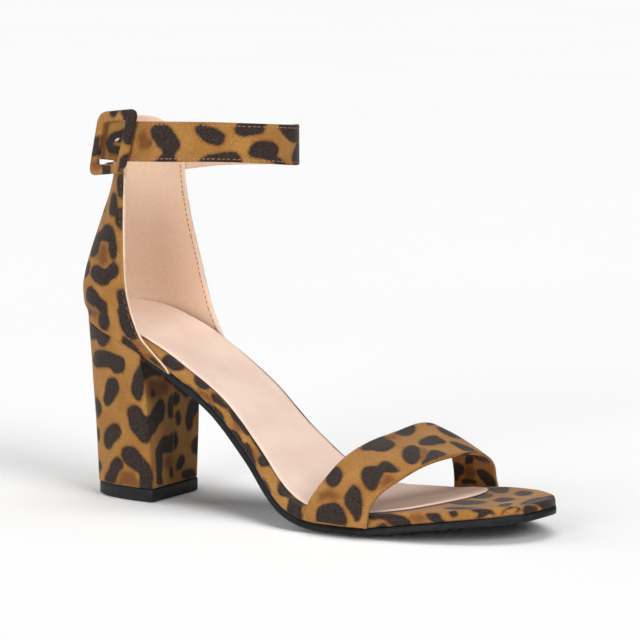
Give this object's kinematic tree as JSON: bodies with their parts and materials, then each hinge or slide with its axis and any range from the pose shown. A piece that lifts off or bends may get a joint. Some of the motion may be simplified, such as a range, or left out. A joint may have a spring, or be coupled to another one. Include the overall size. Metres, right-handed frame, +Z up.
{
  "type": "block heel sandal",
  "caption": "Open-toe sandal for a right foot with a tall block heel, a wide toe strap, a closed heel counter and a buckled ankle strap, covered in spotted cloth.",
  "frame": {"origin": "on the floor, under the middle of the shoe's length and width", "axes": "+X from the heel to the toe, +Y to the big toe's side of this right shoe, +Z up"},
  "size_m": [0.215, 0.0821, 0.1598],
  "materials": {
    "leopard_cloth": "napped faux suede with a printed spotted pattern",
    "insole_sheet": "smooth synthetic sheet with a soft sheen",
    "rubber": "satin",
    "metal": "bright plated"
  },
  "bodies": {
    "root": {"outsole": "rubber", "footbed": "leopard_cloth", "insole": "insole_sheet", "heel_block": "leopard_cloth", "heel_top_piece": "rubber", "heel_counter": "leopard_cloth", "ankle_strap": "leopard_cloth", "toe_strap": "leopard_cloth", "buckle_frame": "leopard_cloth", "buckle_prong": "metal"}
  },
  "joints": []
}
